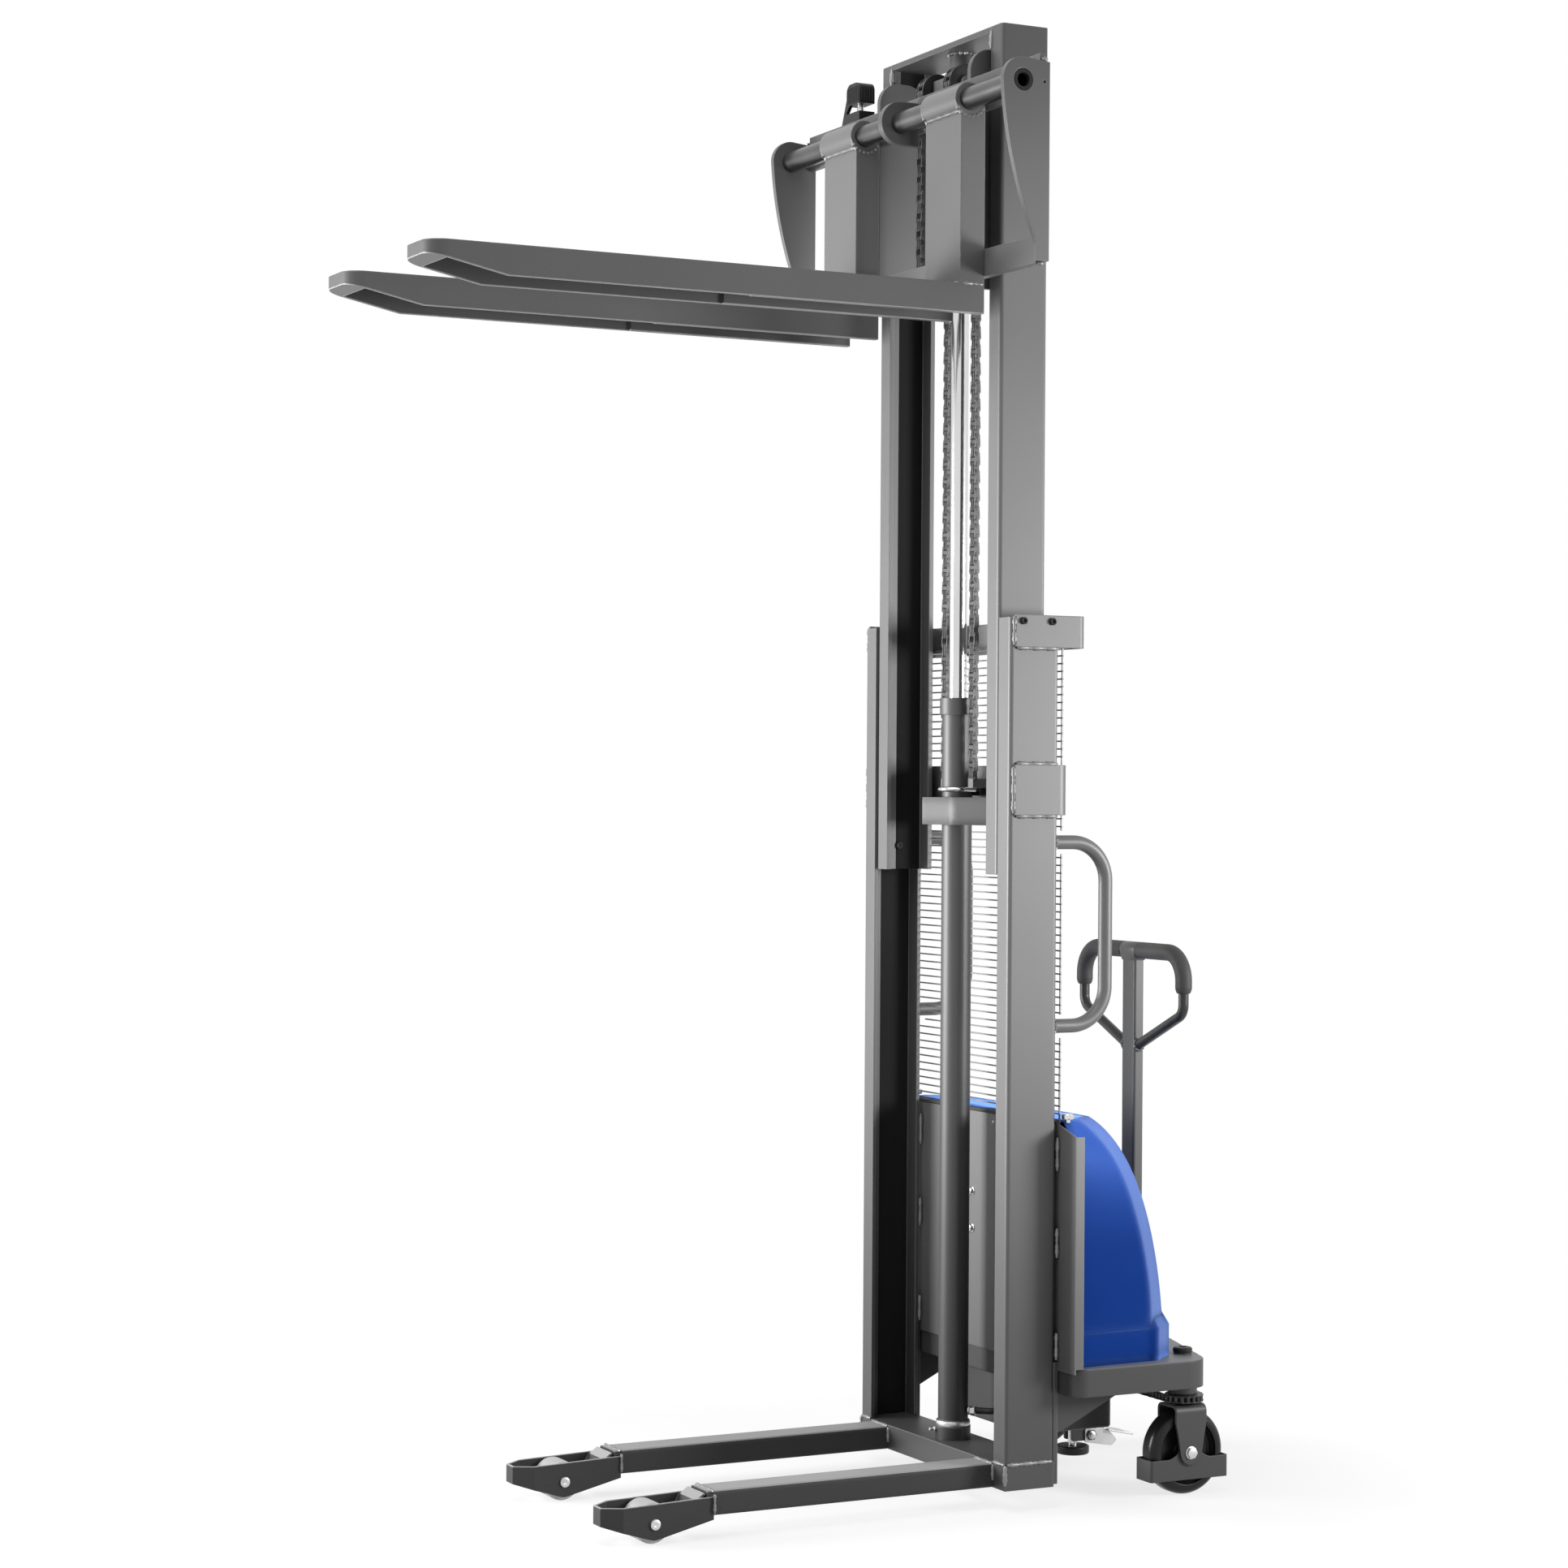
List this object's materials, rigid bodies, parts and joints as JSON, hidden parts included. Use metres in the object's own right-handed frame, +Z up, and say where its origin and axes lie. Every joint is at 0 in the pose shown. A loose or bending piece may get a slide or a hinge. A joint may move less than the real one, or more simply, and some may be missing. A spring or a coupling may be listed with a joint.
{
  "type": "semi-electric stacker",
  "caption": "Walk-behind straddle stacker with a raised two-stage chain-lift mast, sliding forks on a shaft, steered rear casters, tiller and blue power hood.",
  "frame": {"origin": "on the floor under the middle of the whole machine's box", "axes": "+Z up along the mast, forks along -Y, +X to the right seen from the operator's end"},
  "size_m": [1.018, 1.813, 3.054],
  "materials": {
    "mast_paint": "satin",
    "hood_blue": "satin",
    "guard_wire": "satin",
    "chrome": "polished",
    "steel": "machined",
    "chain": "oiled",
    "wheel_black": "matte",
    "grip_black": "matte",
    "black_plastic": "matte",
    "stop_red": "gloss"
  },
  "bodies": {
    "chassis": {"base_beam": "mast_paint", "mast_column_left": "mast_paint", "mast_column_right": "mast_paint", "leg_left": "mast_paint", "leg_right": "mast_paint", "leg_tip_left": "mast_paint", "leg_tip_right": "mast_paint", "mid_crossmember": "mast_paint", "top_crossmember": "mast_paint", "cylinder_barrel": "mast_paint", "barrel_clamp": "chrome", "mesh_guard": "guard_wire", "grab_handle_left": "mast_paint", "grab_handle_right": "mast_paint", "front_panel": "mast_paint", "hood": "hood_blue", "platform": "mast_paint", "power_pack_box": "mast_paint", "lift_hose": "grip_black", "steering_chain": "chain", "chain_rear": "chain"},
    "inner_mast": {"inner_channel_left": "mast_paint", "inner_channel_right": "mast_paint", "inner_top_plate": "mast_paint", "inner_lower_strap": "mast_paint", "piston_rod": "chrome", "chain_front": "chain", "chain_wrap": "chain"},
    "carriage": {"carriage_shaft": "steel", "carriage_top_bar": "mast_paint", "carriage_lower_bar": "mast_paint", "carriage_plate_left": "mast_paint", "carriage_plate_right": "mast_paint", "roller_plate_left": "mast_paint", "roller_plate_right": "mast_paint", "catch_bracket": "black_plastic"},
    "fork_left": {"fork_left": "mast_paint"},
    "fork_right": {"fork_right": "mast_paint"},
    "tiller": {"tiller": "mast_paint", "tiller_grip": "grip_black"},
    "lock_pad": {"lock_pad": "grip_black"},
    "lock_pedal": {"lock_pedal": "chrome"},
    "lift_lever": {"lift_lever": "black_plastic"},
    "stop_button": {"stop_button": "stop_red"},
    "chain_pulley_left": {"chain_pulley_left": "steel"},
    "mast_roller_left": {"mast_roller_left": "steel"},
    "carriage_roller_upper_left": {"carriage_roller_upper_left": "steel"},
    "carriage_roller_lower_left": {"carriage_roller_lower_left": "steel"},
    "load_roller_left": {"load_roller_left": "steel"},
    "caster_left": {"caster_fork_left": "mast_paint", "toe_guard_left": "mast_paint"},
    "caster_wheel_left": {"caster_wheel_left": "wheel_black"},
    "chain_pulley_right": {"chain_pulley_right": "steel"},
    "mast_roller_right": {"mast_roller_right": "steel"},
    "carriage_roller_upper_right": {"carriage_roller_upper_right": "steel"},
    "carriage_roller_lower_right": {"carriage_roller_lower_right": "steel"},
    "load_roller_right": {"load_roller_right": "steel"},
    "caster_right": {"caster_fork_right": "mast_paint", "toe_guard_right": "mast_paint"},
    "caster_wheel_right": {"caster_wheel_right": "wheel_black"}
  },
  "joints": [
    {"name": "mast_slide", "type": "slide", "parent": "chassis", "child": "inner_mast", "axis": [0, 0, 1], "range_m": [-1.2, 0], "deforming": ["chain_rear"]},
    {"name": "carriage_slide", "type": "slide", "parent": "inner_mast", "child": "carriage", "axis": [0, 0, 1], "range_m": [-1.2, 0], "deforming": ["chain_front"]},
    {"name": "fork_left_slide", "type": "slide", "parent": "carriage", "child": "fork_left", "axis": [1, 0, 0], "range_m": [-0.195, 0.135]},
    {"name": "fork_right_slide", "type": "slide", "parent": "carriage", "child": "fork_right", "axis": [1, 0, 0], "range_m": [-0.135, 0.195]},
    {"name": "tiller_steer", "type": "hinge", "parent": "chassis", "child": "tiller", "pos_m": [0, 0.8605, 0.3], "axis": [0, 0, 1], "range_deg": [-75, 75]},
    {"name": "lock_slide", "type": "slide", "parent": "chassis", "child": "lock_pad", "axis": [0, 0, 1], "range_m": [-0.039, 0]},
    {"name": "lock_pedal_hinge", "type": "hinge", "parent": "chassis", "child": "lock_pedal", "pos_m": [0, 0.7465, 0.08], "axis": [1, 0, 0], "range_deg": [-22.5, 0]},
    {"name": "lift_lever_hinge", "type": "hinge", "parent": "chassis", "child": "lift_lever", "pos_m": [0.042, 0.7488, 0.631], "axis": [1, 0, 0], "range_deg": [-20, 20], "stiffness_Nm_per_rad": 2},
    {"name": "stop_button_press", "type": "slide", "parent": "chassis", "child": "stop_button", "axis": [0, -1, 0], "range_m": [0, 0.006], "stiffness_N_per_m": 900},
    {"name": "chain_pulley_left_turn", "type": "hinge", "parent": "inner_mast", "child": "chain_pulley_left", "pos_m": [-0.058, 0.3835, 2.964], "axis": [1, 0, 0], "range_deg": [0, 1970]},
    {"name": "mast_roller_left_roll", "type": "hinge", "parent": "inner_mast", "child": "mast_roller_left", "pos_m": [-0.282, 0.4165, 1.351], "axis": [1, 0, 0], "range_deg": [0, 1390]},
    {"name": "carriage_roller_upper_left_roll", "type": "hinge", "parent": "carriage", "child": "carriage_roller_upper_left", "pos_m": [-0.223, 0.4165, 2.958], "axis": [1, 0, 0], "range_deg": [-1510, 0]},
    {"name": "carriage_roller_lower_left_roll", "type": "hinge", "parent": "carriage", "child": "carriage_roller_lower_left", "pos_m": [-0.223, 0.4165, 2.562], "axis": [1, 0, 0], "range_deg": [0, 1510]},
    {"name": "load_roller_left_roll", "type": "hinge", "parent": "chassis", "child": "load_roller_left", "pos_m": [-0.223, -0.4055, 0.04], "axis": [1, 0, 0], "continuous": true},
    {"name": "caster_left_swivel", "type": "hinge", "parent": "chassis", "child": "caster_left", "pos_m": [-0.288, 0.8035, 0.2], "axis": [0, 0, 1], "range_deg": [-75, 75]},
    {"name": "caster_wheel_left_roll", "type": "hinge", "parent": "caster_left", "child": "caster_wheel_left", "pos_m": [-0.288, 0.8035, 0.09], "axis": [1, 0, 0], "continuous": true},
    {"name": "chain_pulley_right_turn", "type": "hinge", "parent": "inner_mast", "child": "chain_pulley_right", "pos_m": [0.058, 0.3835, 2.964], "axis": [1, 0, 0], "range_deg": [0, 1970]},
    {"name": "mast_roller_right_roll", "type": "hinge", "parent": "inner_mast", "child": "mast_roller_right", "pos_m": [0.282, 0.4165, 1.351], "axis": [1, 0, 0], "range_deg": [0, 1390]},
    {"name": "carriage_roller_upper_right_roll", "type": "hinge", "parent": "carriage", "child": "carriage_roller_upper_right", "pos_m": [0.223, 0.4165, 2.958], "axis": [1, 0, 0], "range_deg": [-1510, 0]},
    {"name": "carriage_roller_lower_right_roll", "type": "hinge", "parent": "carriage", "child": "carriage_roller_lower_right", "pos_m": [0.223, 0.4165, 2.562], "axis": [1, 0, 0], "range_deg": [0, 1510]},
    {"name": "load_roller_right_roll", "type": "hinge", "parent": "chassis", "child": "load_roller_right", "pos_m": [0.223, -0.4055, 0.04], "axis": [1, 0, 0], "continuous": true},
    {"name": "caster_right_swivel", "type": "hinge", "parent": "chassis", "child": "caster_right", "pos_m": [0.288, 0.8035, 0.2], "axis": [0, 0, 1], "range_deg": [-75, 75]},
    {"name": "caster_wheel_right_roll", "type": "hinge", "parent": "caster_right", "child": "caster_wheel_right", "pos_m": [0.288, 0.8035, 0.09], "axis": [1, 0, 0], "continuous": true}
  ],
  "couplings": [
    {"joint": "carriage_slide", "follows": "mast_slide", "ratio": 1},
    {"joint": "lock_pedal_hinge", "follows": "lock_slide", "rad_per_m": 10},
    {"joint": "chain_pulley_left_turn", "follows": "mast_slide", "rad_per_m": -28.571},
    {"joint": "mast_roller_left_roll", "follows": "mast_slide", "rad_per_m": -20.121},
    {"joint": "carriage_roller_upper_left_roll", "follows": "mast_slide", "rad_per_m": 21.882},
    {"joint": "carriage_roller_lower_left_roll", "follows": "mast_slide", "rad_per_m": -21.882},
    {"joint": "caster_left_swivel", "follows": "tiller_steer", "ratio": 1},
    {"joint": "chain_pulley_right_turn", "follows": "mast_slide", "rad_per_m": -28.571},
    {"joint": "mast_roller_right_roll", "follows": "mast_slide", "rad_per_m": -20.121},
    {"joint": "carriage_roller_upper_right_roll", "follows": "mast_slide", "rad_per_m": 21.882},
    {"joint": "carriage_roller_lower_right_roll", "follows": "mast_slide", "rad_per_m": -21.882},
    {"joint": "caster_right_swivel", "follows": "tiller_steer", "ratio": 1}
  ]
}
